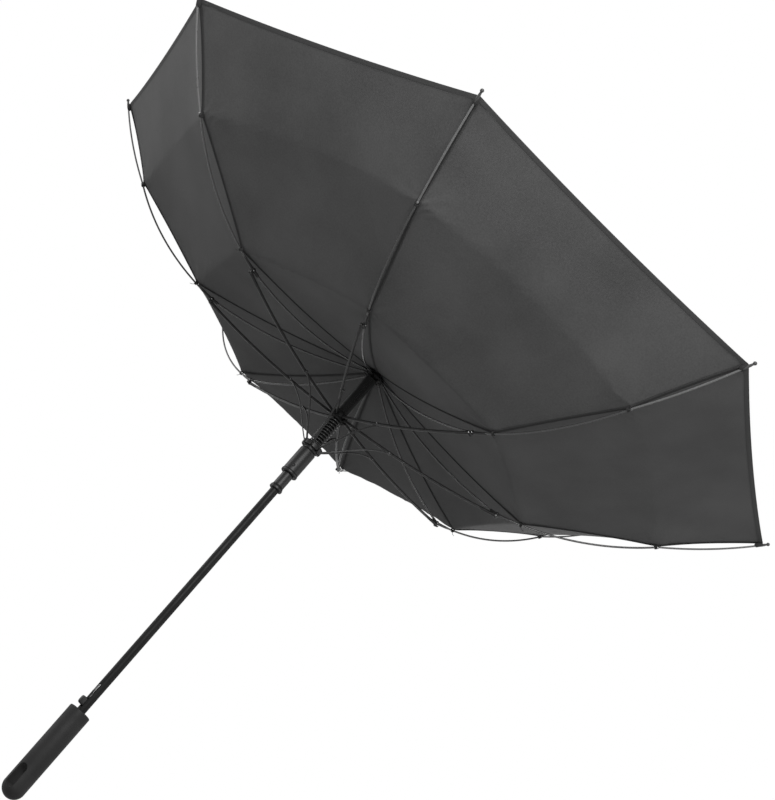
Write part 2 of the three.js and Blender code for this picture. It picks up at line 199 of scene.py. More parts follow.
def between(at, known, rows):
    """Rows of numbers, known at some places, interpolated at others."""
    return np.stack([np.interp(at, known, column) for column in rows.T], axis=1)


def along_line(line, distances):
    """The points at those distances along a line of points."""
    return between(np.atleast_1d(distances), distances_of(line), line)


def length_of(line):
    return float(norm(np.diff(line, axis=0), axis=1).sum())


# ---- mesh building ----
SHARP_ANGLE = 38  # degrees between faces, above which an edge is drawn sharp


def smooth(mesh, sharp_angle=SHARP_ANGLE):
    mesh.polygons.foreach_set("use_smooth", [True] * len(mesh.polygons))
    mesh.set_sharp_from_angle(angle=math.radians(sharp_angle))


def rounded(corners, radius, steps=4):
    """An outline's (radius, height) corners with each corner between its ends rounded off."""
    points = [tuple(corners[0])]
    for before, corner, after in zip(corners, corners[1:], corners[2:]):
        corner = np.array(corner, float)
        into, out = np.subtract(before, corner), np.subtract(after, corner)
        cut = min(radius, norm(into) / 2.05, norm(out) / 2.05)
        a, b = corner + unit(into) * cut, corner + unit(out) * cut
        for t in np.linspace(0, 1, steps + 1):
            points.append(tuple((1 - t) ** 2 * a + 2 * t * (1 - t) * corner + t ** 2 * b))
    points.append(tuple(corners[-1]))
    return points


def round_section(radius, sides=12):
    turn = 2 * np.pi * np.arange(sides) / sides
    return np.stack([radius * np.cos(turn), radius * np.sin(turn)], axis=1)


def level_ring(radius, z, sides=64):
    """Points of a level circle round the shaft."""
    return np.column_stack([round_section(radius, sides), np.full(sides, z)])


def ball(radius, steps):
    """The profile of a ball, from pole to pole."""
    turns = np.linspace(0, math.pi, steps + 1)[1:-1]
    middle = [(radius * math.sin(t), -radius * math.cos(t)) for t in turns]
    return [(0, -radius), *middle, (0, radius)]


def flat_section(thickness, width, sides=16):
    """A strip's section with rounded edges: thickness along the normal, width along the side."""
    turn = 2 * np.pi * (np.arange(sides) + 0.5) / sides
    circle = np.stack([np.cos(turn), np.sin(turn)], axis=1)
    squarer = np.sign(circle) * np.abs(circle) ** 0.45
    return squarer * (thickness, width) / 2


class Shells:
    """Closed shells that become one mesh object."""

    def __init__(self):
        self.points, self.faces, self.slots = [], [], []

    def add(self, points, faces, slot=0):
        base = len(self.points)
        self.points += [tuple(p) for p in points]
        self.faces += [[base + v for v in face] for face in faces]
        self.slots += [slot] * len(faces)

    def bar(self, line, section, side, slot=0, scale=None, end_radius=None, loop=False):
        """A bar along a line. Its section's first axis is across side, its second along it."""
        line = np.array(line, float)
        count, sides = len(line), len(section)
        side = np.broadcast_to(np.array(side, float), line.shape)
        around = np.roll(line, -1, axis=0) - np.roll(line, 1, axis=0)
        tangent = unit(around if loop else np.gradient(line, axis=0))
        normal = unit(np.cross(side, tangent))
        across = np.cross(tangent, normal)
        scale = np.ones(count) if scale is None else np.array(scale, float)
        if end_radius:
            turns = np.radians([80, 52, 25])
            head = [line[0] - tangent[0] * end_radius * math.sin(t) for t in turns]
            tail = [line[-1] + tangent[-1] * end_radius * math.sin(t) for t in turns[::-1]]
            line = np.concatenate([head, line, tail])
            ends = np.cos(turns)
            scale = np.concatenate([ends * scale[0], scale, ends[::-1] * scale[-1]])
            normal, across = (
                np.concatenate([[way[0]] * 3, way, [way[-1]] * 3]) for way in (normal, across)
            )
            count = len(line)
        sized = scale[:, None, None] * section[None]
        rings = line[:, None] + sized[..., :1] * normal[:, None] + sized[..., 1:] * across[:, None]
        faces = []
        for ring in range(count if loop else count - 1):
            low, high = ring * sides, (ring + 1) % count * sides
            for k in range(sides):
                n = (k + 1) % sides
                faces.append([low + k, low + n, high + n, high + k])
        if not loop:
            faces.append(list(range(sides))[::-1])
            faces.append([(count - 1) * sides + k for k in range(sides)])
        self.add(rings.reshape(-1, 3), faces, slot)

    def turned(self, profile, origin=(0, 0, 0), axis=(0, 0, 1), segments=64, slot=0):
        """A solid turned from (radius, distance along axis) points: its ends are on the axis,
        or it closes on itself."""
        axis = unit(axis)
        start = np.array([0.0, 0.0, 1.0]) if abs(axis[2]) < 0.9 else np.array([1.0, 0.0, 0.0])
        across = unit(np.cross(start, axis))
        other = np.cross(axis, across)
        turn = 2 * np.pi * np.arange(segments) / segments
        spokes = np.cos(turn)[:, None] * across + np.sin(turn)[:, None] * other
        origin = np.array(origin, float)
        points, rows = [], []
        for radius, height in profile:
            centre = origin + axis * height
            if radius < 1e-7:
                rows.append([len(points)] * segments)
                points.append(centre)
            else:
                rows.append(list(range(len(points), len(points) + segments)))
                points += list(centre + radius * spokes)
        pairs = list(zip(rows, rows[1:]))
        if profile[0][0] > 1e-7:
            pairs.append((rows[-1], rows[0]))
        faces = []
        for low, high in pairs:
            for k in range(segments):
                n = (k + 1) % segments
                corners = [low[k], low[n], high[n], high[k]]
                face = [c for j, c in enumerate(corners) if c != corners[j - 1]]
                if len(face) > 2:
                    faces.append(face)
        self.add(points, faces, slot)

    def make(self, name, *materials, sharp_angle=SHARP_ANGLE):
        mesh = bpy.data.meshes.new(name)
        mesh.from_pydata(self.points, [], self.faces)
        made = bmesh.new()
        made.from_mesh(mesh)
        bmesh.ops.recalc_face_normals(made, faces=made.faces)
        made.to_mesh(mesh)
        made.free()
        for material in materials:
            mesh.materials.append(material)
        mesh.polygons.foreach_set("material_index", self.slots)
        smooth(mesh, sharp_angle)
        return added(name, mesh)


def added(name, data):
    """A new object in the scene."""
    made = bpy.data.objects.new(name, data)
    bpy.context.scene.collection.objects.link(made)
    return made


def turned_piece(name, material, corners, radius, segments=96):
    """One piece turned round the shaft from a closed outline with rounded corners."""
    shells = Shells()
    shells.turned(rounded([*corners, corners[0]], radius)[:-1], segments=segments)
    return shells.make(name, material)


def carve(piece, *cutters):
    """Cuts the cutters out of a piece and removes them."""
    for cutter in cutters:
        cut = piece.modifiers.new("cut", "BOOLEAN")
        cut.operation, cut.solver, cut.object = "DIFFERENCE", "EXACT", cutter
    bpy.context.view_layer.update()
    graph = bpy.context.evaluated_depsgraph_get()
    whole = bpy.data.meshes.new_from_object(piece.evaluated_get(graph))
    piece.modifiers.clear()
    piece.data = whole
    for cutter in cutters:
        bpy.data.objects.remove(cutter)
    smooth(whole)


def soften_edges(piece, width, segments=2):
    bevel = piece.modifiers.new("soft_edges", "BEVEL")
    bevel.width, bevel.segments = width, segments
    bevel.limit_method, bevel.angle_limit = "ANGLE", math.radians(SHARP_ANGLE)
    bevel.harden_normals = True


def block(centre, size, turn=0.0):
    """A plain cutter: a box turned about the shaft's axis."""
    spin = Matrix.Rotation(turn, 3, "Z")
    signs = product((-1, 1), repeat=3)
    corners = [spin @ Vector(np.multiply(size, sign) / 2 + centre) for sign in signs]
    faces = [[0, 1, 3, 2], [4, 6, 7, 5], [0, 4, 5, 1], [2, 3, 7, 6], [0, 2, 6, 4], [1, 5, 7, 3]]
    shells = Shells()
    shells.add(corners, faces)
    return shells.make("cutter")


def finish_piece(piece, body, slot, *nodes):
    """Rides a piece on its body and stands it for its CAD nodes. Its finish's name, slot, is not
    used.
    """
    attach(piece, body)
    if nodes:
        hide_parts(*nodes)


# ---- materials ----
def set_inputs(node, values):
    for name, value in values.items():
        node.inputs[name].default_value = value


def grey(value):
    return (value, value, value, 1)


class Finish:
    """A Principled material whose constants sit on its sockets, with its own noise detail."""

    def __init__(self, name, roughness, metallic=0.0, specular=0.5, coat=0.0, sheen=0.0):
        self.material = bpy.data.materials.new(name)
        self.material.use_nodes = True
        self.tree = self.material.node_tree
        self.shader = self.tree.nodes["Principled BSDF"]
        set_inputs(self.shader, {
            "Roughness": roughness, "Metallic": metallic, "Specular IOR Level": specular,
            "Coat Weight": coat, "Coat Roughness": 0.25,
            "Sheen Weight": sheen, "Sheen Roughness": 0.45,
        })

    def node(self, kind, **values):
        node = self.tree.nodes.new(kind)
        for name, value in values.items():
            setattr(node, name, value)
        return node

    def join(self, source, target):
        self.tree.links.new(source, target)

    def math(self, operation, a, b=None):
        node = self.node("ShaderNodeMath", operation=operation)
        for socket, value in zip(node.inputs, (a, b)):
            if isinstance(value, (int, float)):
                socket.default_value = value
            elif value is not None:
                self.join(value, socket)
        return node.outputs[0]

    def times(self, a, b):
        return self.math("MULTIPLY", a, b)

    def plus(self, a, b):
        return self.math("ADD", a, b)

    def minus(self, a, b):
        return self.math("SUBTRACT", a, b)

    def larger(self, a, b):
        return self.math("MAXIMUM", a, b)

    def noise(self, scale, detail=3.0, stretch=(1, 1, 1)):
        coordinates = self.node("ShaderNodeTexCoord")
        mapping = self.node("ShaderNodeMapping")
        mapping.inputs["Scale"].default_value = stretch
        texture = self.node("ShaderNodeTexNoise")
        set_inputs(texture, {"Scale": scale, "Detail": detail})
        self.join(coordinates.outputs["Object"], mapping.inputs["Vector"])
        self.join(mapping.outputs["Vector"], texture.inputs["Vector"])
        return texture.outputs["Fac"]

    def spread(self, value, low, high, start=0.3, end=0.7):
        """A value of about start to end brought to low to high."""
        node = self.node("ShaderNodeMapRange")
        set_inputs(node, {"From Min": start, "From Max": end, "To Min": low, "To Max": high})
        self.join(value, node.inputs["Value"])
        return node.outputs["Result"]

    def colour(self, value, dark, light, start=0.3, end=0.7):
        """A grey base colour between dark and light."""
        ramp = self.node("ShaderNodeValToRGB")
        stops = ramp.color_ramp.elements
        stops[0].position, stops[1].position = start, end
        stops[0].color, stops[1].color = grey(dark), grey(light)
        self.join(value, ramp.inputs["Fac"])
        self.join(ramp.outputs["Color"], self.shader.inputs["Base Color"])
        return ramp.outputs["Color"]

    def rough(self, value, low, high):
        self.join(self.spread(value, low, high), self.shader.inputs["Roughness"])

    def bump(self, height, distance, strength=1.0):
        node = self.node("ShaderNodeBump")
        set_inputs(node, {"Strength": strength, "Distance": distance})
        self.join(height, node.inputs["Height"])
        self.join(node.outputs["Normal"], self.shader.inputs["Normal"])


def painted_metal(name, dark, light, roughness, metallic, specular=0.25, coat=0.02, stretch=1):
    """Lacquered metal with a fine grain, which can be stretched to lines along the shaft."""
    finish = Finish(name, roughness, metallic=metallic, specular=specular, coat=coat)
    lines = finish.noise(900, 2, (1, 1, stretch))
    finish.colour(lines, dark, light)
    finish.rough(finish.noise(60, 4), roughness * 0.8, roughness * 1.25)
    finish.bump(lines, 0.00002, 0.5)
    return finish.material


def moulded_plastic(name, dark, light, roughness, grain_scale=2600, specular=0.22):
    finish = Finish(name, roughness, specular=specular)
    finish.colour(finish.noise(45, 4), dark, light)
    grain = finish.noise(grain_scale, 2)
    finish.rough(grain, roughness * 0.85, roughness * 1.15)
    finish.bump(grain, 0.00004, 0.6)
    return finish.material


def soft_grip():
    """Soft-touch rubber: matt, with a fine pebbled grain and slightly rubbed patches."""
    finish = Finish("soft_grip", 0.62, specular=0.14, sheen=0.02)
    finish.colour(finish.noise(28, 5), 0.007, 0.011)
    pebbles = finish.node("ShaderNodeTexVoronoi")
    pebbles.inputs["Scale"].default_value = 1500
    coordinates = finish.node("ShaderNodeTexCoord")
    finish.join(coordinates.outputs["Object"], pebbles.inputs["Vector"])
    finish.rough(finish.noise(40, 4), 0.52, 0.70)
    finish.bump(pebbles.outputs["Distance"], 0.00008, 0.5)
    return finish.material


def canopy_cloth():
    """Charcoal pongee. Its weave and stitches are laid out in metres by the cloth's own maps:
    weave is (across from the seam, along it) and hem is (along the hem, in from it)."""
    finish = Finish("canopy_cloth", 0.68, specular=0.14, sheen=0.03)
    times, plus, larger = finish.times, finish.plus, finish.larger

    def map_parts(name):
        cloth_map = finish.node("ShaderNodeUVMap", uv_map=name)
        parts = finish.node("ShaderNodeSeparateXYZ")
        finish.join(cloth_map.outputs["UV"], parts.inputs[0])
        return parts.outputs[0], parts.outputs[1]

    def waves(value, pitch):
        return finish.math("SINE", times(value, 2 * math.pi / pitch))

    def stitch_line(value, target, along):
        """Dashes at that distance from an edge: 1 along a stitch, down to 0 beside it."""
        away = finish.math("ABSOLUTE", finish.minus(value, target))
        near = larger(finish.minus(1.0, finish.math("DIVIDE", away, STITCH_WIDTH)), 0.0)
        return times(near, finish.math("GREATER_THAN", waves(along, STITCH_PITCH), -0.35))

    across, along = map_parts("weave")
    hem_along, hem_in = map_parts("hem")
    threads = times(waves(across, THREAD_PITCH), waves(along, THREAD_PITCH))
    from_seam = finish.math("ABSOLUTE", across)
    stitches = larger(
        stitch_line(from_seam, SEAM_STITCH_AT, along), stitch_line(hem_in, HEM_STITCH_AT, hem_along)
    )
    # the folds mask marks the folded bands at the seams and the hem: it raises them in the bump and
    # paints shade on them
    folds = larger(
        finish.math("LESS_THAN", from_seam, SEAM_FOLD), finish.math("LESS_THAN", hem_in, HEM_FOLD)
    )

    slubs = finish.noise(420, 3)
    tone = plus(times(finish.noise(9, 5), 0.55), times(slubs, 0.45))
    cloth_colour = finish.colour(tone, 0.030, 0.048, 0.35, 0.65)
    # painted shade: the colour is darkened in a band along each seam and along the hem, where the
    # cloth folds; the stitches are darkened too
    stitch_marks_and_fold_shade = finish.node("ShaderNodeMix", data_type="RGBA", blend_type="MULTIPLY")
    finish.join(plus(times(stitches, 0.55), times(folds, 0.12)), stitch_marks_and_fold_shade.inputs["Factor"])
    finish.join(cloth_colour, stitch_marks_and_fold_shade.inputs["A"])
    stitch_marks_and_fold_shade.inputs["B"].default_value = grey(0.25)
    finish.join(stitch_marks_and_fold_shade.outputs["Result"], finish.shader.inputs["Base Color"])
    finish.rough(slubs, 0.62, 0.76)
    raised = plus(times(threads, 0.10), times(folds, 0.6))
    finish.bump(finish.minus(raised, times(stitches, 0.8)), 0.00025, 0.6)
    return finish.material


def shaded_folded_cloth(name, dark, light):
    """A folded edge of the same cloth, coloured darker than the cloth as painted shade."""
    finish = Finish(name, 0.8, specular=0.12, sheen=0.02)
    finish.colour(finish.noise(700, 3), dark, light)
    finish.bump(finish.noise(1600, 2), 0.00012, 0.7)
    return finish.material


SHAFT_LACQUER = painted_metal("shaft_lacquer", 0.004, 0.007, 0.50, 0.0, 0.08, stretch=0.04)
SPRING_BLACK = painted_metal("spring_black", 0.004, 0.007, 0.32, 0.2)
RIB_LACQUER = painted_metal("rib_lacquer", 0.020, 0.030, 0.18, 0.3, 0.5, 0.3)
ROD_GREY = painted_metal("rod_grey", 0.07, 0.11, 0.30, 0.3)
STRETCHER_GREY = painted_metal("stretcher_grey", 0.014, 0.024, 0.34, 0.4)
BRIGHT_STEEL = painted_metal("bright_steel", 0.22, 0.30, 0.24, 1.0)
WORN_STEEL = painted_metal("worn_steel", 0.28, 0.38, 0.35, 1.0)
DARK_STEEL = painted_metal("dark_steel", 0.02, 0.04, 0.28, 0.5)
BLACK_PLASTIC = moulded_plastic("black_plastic", 0.005, 0.009, 0.42)
HUB_PLASTIC = moulded_plastic("hub_plastic", 0.004, 0.007, 0.50, specular=0.09)
CAP_PLASTIC = moulded_plastic("cap_plastic", 0.02, 0.035, 0.38)
GRIP_RUBBER = soft_grip()
CLOTH = canopy_cloth()
# painted shade: the seam tapes, the tip patches and the hem bands are the canopy's cloth coloured
# darker
SHADED_SEAM_CLOTH = shaded_folded_cloth("shaded_seam_cloth", 0.011, 0.017)
SHADED_HEM_CLOTH = shaded_folded_cloth("shaded_hem_cloth", 0.024, 0.034)
THREAD = moulded_plastic("tie_thread", 0.008, 0.014, 0.8, 3500)


# ---- camera, floor and lights ----
CAMERA_AT = Vector((1.847, 1.252, -0.052))
VIEW_AHEAD = Vector((-0.7426, -0.5797, 0.3354)).normalized()
VIEW_UP = Vector((0.6107, -0.3805, 0.6945)).normalized()
VIEW_RIGHT = VIEW_AHEAD.cross(VIEW_UP).normalized()
FLOOR_Z = -0.26
FLOOR_HALF = 12.0
LIT_HEIGHT = 0.82  # of the canopy's middle, where the lights point
LIGHT_DISTANCE, LIGHT_SIZE = 2.3, 1.3
LIGHTS = (("key", 28, 1.35, 84), ("left_fill", -70, 1.15, 22), ("right_fill", 110, 0.95, 14))


def add_camera():
    data = bpy.data.cameras.new("camera")
    data.sensor_width = 36
    data.lens = 68.46
    data.shift_x, data.shift_y = 0.1526, -0.0572
    data.clip_start, data.clip_end = 0.05, 60
    camera = added("camera", data)
    up = VIEW_RIGHT.cross(VIEW_AHEAD)
    turn = Matrix((VIEW_RIGHT, up, -VIEW_AHEAD)).transposed().to_4x4()
    camera.matrix_world = Matrix.Translation(CAMERA_AT) @ turn
    bpy.context.scene.camera = camera


def add_area(name, angle, height, power):
    """A soft square light that looks at the canopy's middle, at an angle round the shaft."""
    data = bpy.data.lights.new(name, "AREA")
    data.shape, data.size, data.energy = "SQUARE", LIGHT_SIZE, power
    light = added(name, data)
    turn = math.radians(angle)
    light.location = (LIGHT_DISTANCE * math.cos(turn), LIGHT_DISTANCE * math.sin(turn), height)
    light.rotation_mode = "QUATERNION"
    ahead = Vector((0, 0, LIT_HEIGHT)) - light.location
    light.rotation_quaternion = ahead.to_track_quat("-Z", "Y")


def add_surroundings():
    world = bpy.data.worlds.new("studio")
    bpy.context.scene.world = world
    world.use_nodes = True
    background = world.node_tree.nodes["Background"]
    set_inputs(background, {"Color": (1, 1, 1, 1), "Strength": 1.0})
    bpy.context.scene.view_settings.view_transform = "Standard"
    shells = Shells()
    corners = [(x * FLOOR_HALF, y * FLOOR_HALF, 0) for x, y in ((-1, -1), (1, -1), (1, 1), (-1, 1))]
    shells.add(corners, [[0, 1, 2, 3]])
    floor = shells.make("floor", floor_material())
    floor.location.z = FLOOR_Z
    for name, angle, height, power in LIGHTS:
        add_area(name, angle, height, power)


def floor_material():
    finish = Finish("pale_floor", 0.8, specular=0.2)
    finish.colour(finish.noise(3, 4), 0.455, 0.465)
    return finish.material


add_camera()
add_surroundings()


# ---- the canopy's surface ----
def eased(steps, share=0.6):
    """0 to 1 in that many steps, closer together at both ends."""
    t = np.linspace(0, 1, steps + 1)
    return (1 - share) * t + share * (0.5 - 0.5 * np.cos(np.pi * t))


def seam_pins(i):
    """Where one seam is held: at the crown, on the rod at both ties, and at the tip."""
    points = rib_points(i)
    joint, inner, outer, tip = (points[k] for k in ("joint", "inner_tie", "outer_tie", "tip"))
    mid_line = bowed(joint, outer, MID_BULGE, 40)
    on_rod = along_line(mid_line, norm(inner - joint))[0]
    held = zip((on_rod, outer, tip), (outer - joint, tip - joint, tip - outer))
    lifted = [pin - right_of(unit(along)) * FABRIC_OFF_ROD for pin, along in held]
    return [np.array(CROWN_RING), *lifted]


def starting_grid():
    """Columns round the canopy by rows from crown to hem, straight between the pins."""
    seams = []
    for i in range(RIBS):
        pins = seam_pins(i)
        curve = bowed(pins[0], pins[1], SEAM_BULGE, 60)
        line = [pins[0]] + list(along_line(curve, length_of(curve) * eased(SEAM_ROWS[0])[1:]))
        for start, end, steps in zip(pins[1:], pins[2:], SEAM_ROWS[1:]):
            line += [start + (end - start) * t for t in eased(steps)[1:]]
        seams.append(place(i, line))
    across = eased(GORE_COLUMNS, 0.8)[:-1]
    columns = []
    for i in range(RIBS):
        for t in across:
            columns.append(seams[i] * (1 - t) + seams[(i + 1) % RIBS] * t)
    return np.array(columns)


def relaxed(grid, rounds=3):
    """The grid pulled into a taut membrane. Each link pulls with the cloth's tension over the
    width it stands for, seams and hem pull harder, and the pinned points stay."""
    count, rows = grid.shape[:2]
    fixed = np.zeros((count, rows), bool)
    fixed[:, 0] = True
    seam = np.arange(count) % GORE_COLUMNS == 0
    fixed[seam, :SEAM_ROWS[0]] = True
    for row in np.cumsum(SEAM_ROWS):
        fixed[seam, row] = True
    free = ~fixed[..., None]
    points = grid.copy()
    for _ in range(rounds):
        across = norm(np.roll(points, -1, axis=0) - points, axis=2)
        along = norm(np.diff(points, axis=1), axis=2)
        widths = (across + np.roll(across, 1, axis=0)) / 2
        heights = np.zeros((count, rows))
        heights[:, :-1] += along / 2
        heights[:, 1:] += along / 2
        pull_across = (heights + np.roll(heights, -1, axis=0)) / 2 / np.maximum(across, 1e-5)
        for row, tension in zip(np.cumsum(SEAM_ROWS), (*RING_TENSION, HEM_TENSION)):
            pull_across[:, row] += tension / across[:, row]
        pull_along = ALONG_TENSION * (widths[:, :-1] + widths[:, 1:]) / 2 / along
        pull_along[seam] += np.repeat(SEAM_TENSION, SEAM_ROWS) / along[seam]

        def unbalanced(p):
            """How hard each point's links pull it away, for points p."""
            step = pull_across[..., None] * (p - np.roll(p, -1, axis=0))
            total = step - np.roll(step, 1, axis=0)
            step = pull_along[..., None] * (p[:, :-1] - p[:, 1:])
            total[:, :-1] += step
            total[:, 1:] -= step
            return total * free

        residual = -unbalanced(points)
        direction = residual.copy()
        size = (residual ** 2).sum()
        for _ in range(1200):
            pushed = unbalanced(direction)
            step = size / (direction * pushed).sum()
            points = points + step * direction
            residual = residual - step * pushed
            after = (residual ** 2).sum()
            if after < 1e-16:
                break
            direction = residual + direction * (after / size)
            size = after
    return points


def grid_normals(grid):
    across = np.roll(grid, -1, axis=0) - np.roll(grid, 1, axis=0)
    along = np.gradient(grid, axis=1)
    return unit(np.cross(along, across))


def puckered(grid):
    """Small folds that run out from each tie and each tip, where thread gathers the cloth."""
    normals = grid_normals(grid)
    moved = grid.copy()
    for i in range(RIBS):
        for number, row in enumerate(np.cumsum(SEAM_ROWS)):
            centre = grid[i * GORE_COLUMNS, row]
            away = grid - centre
            far = norm(away, axis=2)
            x = away @ sideways(i)
            y = away @ unit(grid[i * GORE_COLUMNS, row] - grid[i * GORE_COLUMNS, row - 1])
            angle = np.arctan2(x, y)
            fade = np.exp(-((far / PUCKER_REACH) ** 2)) * (1 - np.exp(-((far / 0.006) ** 2)))
            fold = np.cos((7 + number) * angle + 0.9 * i)
            moved += normals * (PUCKER_DEPTH * fade * fold)[..., None]
    return moved


GRID = puckered(relaxed(starting_grid()))
NORMALS = grid_normals(GRID)


# ---- canopy pieces: each rib carries the cloth round it, cut across at its two hinges ----
def column_rows(i, column):
    """Where a column crosses the hinge lines of rib i, as row numbers from crown to hem."""
    reach = GRID[column] @ outward(i)
    rows = np.arange(GRID.shape[1])
    points = rib_points(i)
    cuts = [np.interp(points[name][0], reach, rows) for name in ("joint", "outer_tie")]
    return [0.0, *cuts, float(rows[-1])]


PART_ROWS = (24, 20, 14)
PARTS = ("inner", "mid", "outer")
HALF = GORE_COLUMNS // 2
SIDES = (("left", slice(0, HALF + 1), -1), ("right", slice(HALF, GORE_COLUMNS + 1), 1))
STRETCH = 1.01  # the taut cloth is this much larger than its cut


def strip(i, part):
    """Grid points, normals and both cloth maps of one canopy piece, column by column."""
    rows = np.arange(GRID.shape[1])
    points, normals, weave, hem = [], [], [], []
    for k in range(-HALF, HALF + 1):
        column = (i * GORE_COLUMNS + k) % len(GRID)
        ends = column_rows(i, column)
        at = np.linspace(ends[part], ends[part + 1], PART_ROWS[part] + 1)
        steps = distances_of(GRID[column])
        along = np.interp(at, rows, steps)
        points.append(between(at, rows, GRID[column]))
        normals.append(unit(between(at, rows, NORMALS[column])))
        weave.append(along)
        hem.append(steps[-1] - along)
    points, normals = np.array(points), np.array(normals)
    across = norm(np.diff(points, axis=0), axis=2)
    across = np.concatenate([np.zeros((1, across.shape[1])), np.cumsum(across, axis=0)])
    across = across - across[HALF]
    weave_map = np.stack([across, np.array(weave)], axis=2)
    hem_map = np.stack([np.broadcast_to(across[:, -1:], across.shape), np.array(hem)], axis=2)
    return points, normals, weave_map, hem_map


def cloth_piece(name, points, normals, weave_map, hem_map):
    """A closed thin shell of cloth, with the whole canopy's normals so that cuts don't show."""
    columns, rows = points.shape[:2]
    size = columns * rows
    layers = [points + normals * FABRIC_THICKNESS / 2, points - normals * FABRIC_THICKNESS / 2]
    number = lambda layer, c, r: layer * size + c * rows + r
    faces, kinds = [], []
    for c in range(columns - 1):
        for r in range(rows - 1):
            quad = [(c, r), (c + 1, r), (c + 1, r + 1), (c, r + 1)]
            faces.append([number(0, *p) for p in quad[::-1]])
            faces.append([number(1, *p) for p in quad])
            kinds += [1, -1]
    edge = [(c, 0) for c in range(columns)] + [(columns - 1, r) for r in range(1, rows)]
    edge += [(c, rows - 1) for c in range(columns - 2, -1, -1)]
    edge += [(0, r) for r in range(rows - 2, 0, -1)]
    for a, b in zip(edge, edge[1:] + edge[:1]):
        faces.append([number(0, *a), number(0, *b), number(1, *b), number(1, *a)])
        kinds.append(0)
    mesh = bpy.data.meshes.new(name)
    mesh.from_pydata([tuple(p) for layer in layers for p in layer.reshape(-1, 3)], [], faces)
    mesh.materials.append(CLOTH)
    mesh.polygons.foreach_set("use_smooth", [True] * len(faces))
    flat_normals = normals.reshape(-1, 3)
    maps = {"weave": weave_map.reshape(-1, 2), "hem": hem_map.reshape(-1, 2)}
    layers_of = {key: mesh.uv_layers.new(name=key) for key in maps}
    loop_normals = []
    for polygon, kind in zip(mesh.polygons, kinds):
        for loop in polygon.loop_indices:
            vertex = mesh.loops[loop].vertex_index % size
            loop_normals.append(tuple(flat_normals[vertex] * kind if kind else polygon.normal))
            for key, values in maps.items():
                layers_of[key].data[loop].uv = values[vertex]
    mesh.normals_split_custom_set(loop_normals)
    return added(name, mesh)


def patch_area(points):
    a, b, c, d = points[:-1, :-1], points[1:, :-1], points[1:, 1:], points[:-1, 1:]
    triangles = (np.cross(b - a, c - a), np.cross(c - a, d - a))
    return float(sum(norm(t, axis=2) for t in triangles).sum() / 2)


def folding_line(i, points, sign):
    """The way half a piece runs from its seam, square to the rib, and a point on the seam."""
    seam = points[-1] if sign < 0 else points[0]
    away = points - seam[None]
    up = unit(np.cross(unit(seam[-1] - seam[0]), sideways(i)))
    across = away @ sideways(i)
    rise = (across * (away @ up)).sum() / (across ** 2).sum()
    return unit(sideways(i) + rise * up), seam.mean(axis=0)


def add_canopy():
    for i in range(RIBS):
        for part, part_name in enumerate(PARTS):
            whole = strip(i, part)
            for side_name, columns, sign in SIDES:
                points, normals, weave_map, hem_map = (values[columns] for values in whole)
                name = f"canopy_{part_name}_{i + 1}_{side_name}"
                piece = cloth_piece(name, points, normals, weave_map, hem_map)
                width = max(length_of(points[:, r]) for r in range(points.shape[1]))
                length = max(length_of(column) for column in points)
                finish_piece(piece, f"rib_{part_name}_{i + 1}", "canopy_fabric")
                if part == 0 and sign > 0:
                    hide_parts(f"canopy_gore_{i + 1}")
                patch_area(points) / STRETCH ** 2
                axis, anchor = folding_line(i, points, sign)
                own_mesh(piece)


def add_seams_and_hem():
    """The gores' folded edges under each seam, and the turned hem between two ribs."""
    for i in range(RIBS):
        for part, part_name in enumerate(PARTS):
            points, normals, _, _ = strip(i, part)
            tape = Shells()
            line = points[HALF] - normals[HALF] * TAPE_UNDER
            if part == 0:
                line = line[1:]
            tape.bar(line, flat_section(0.0010, 0.0032), sideways(i), end_radius=0.0004)
            piece = tape.make(f"seam_{part_name}_{i + 1}", SHADED_SEAM_CLOTH)
            finish_piece(piece, f"rib_{part_name}_{i + 1}", "canopy_fabric")
        # the last points are the outer part's, which end at the hem
        for side_name, columns, sign in SIDES:
            edge, inner = points[columns, -1], points[columns, -2]
            inward = unit(inner - edge)
            band = Shells()
            band.bar(edge + inward * BAND_IN, flat_section(0.0010, 0.0068), inward)
            piece = band.make(f"hem_{i + 1}_{side_name}", SHADED_HEM_CLOTH)
            finish_piece(piece, f"rib_outer_{i + 1}", "canopy_fabric")
            axis, anchor = folding_line(i, points[columns], sign)
            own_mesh(piece)


# ---- pieces of one rib ----
def add_rivet(shells, centre, axis, radius, height, slot):
    """A domed head on each side of a pin's middle."""
    head = ((0, 1), (0.55, 1), (0.9, 0.8), (1, 0.6))
    profile = [(radius * r, -height * z) for r, z in head]
    mirrored = [(r, -z) for r, z in profile[::-1]]
    shells.turned(profile + mirrored, centre, axis, 20, slot)


def drum(radius, thickness, edge=0.0005):
    """The profile of a short solid drum with rounded edges."""
    half = thickness / 2
    return rounded([(0, -half), (radius, -half), (radius, half), (0, half)], edge, 3)


def span(i, line, start, end, steps, side=0.0):
    """Evenly spaced points on part of a line in rib i's plane."""
    return place(i, along_line(line, np.linspace(start, end, steps)), side)


def straighten(piece, i, start, end):
    """Gives a sprung rod's piece a mesh of its own."""
    across = spot(i, right_of(unit(np.subtract(end, start))))
    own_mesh(piece)


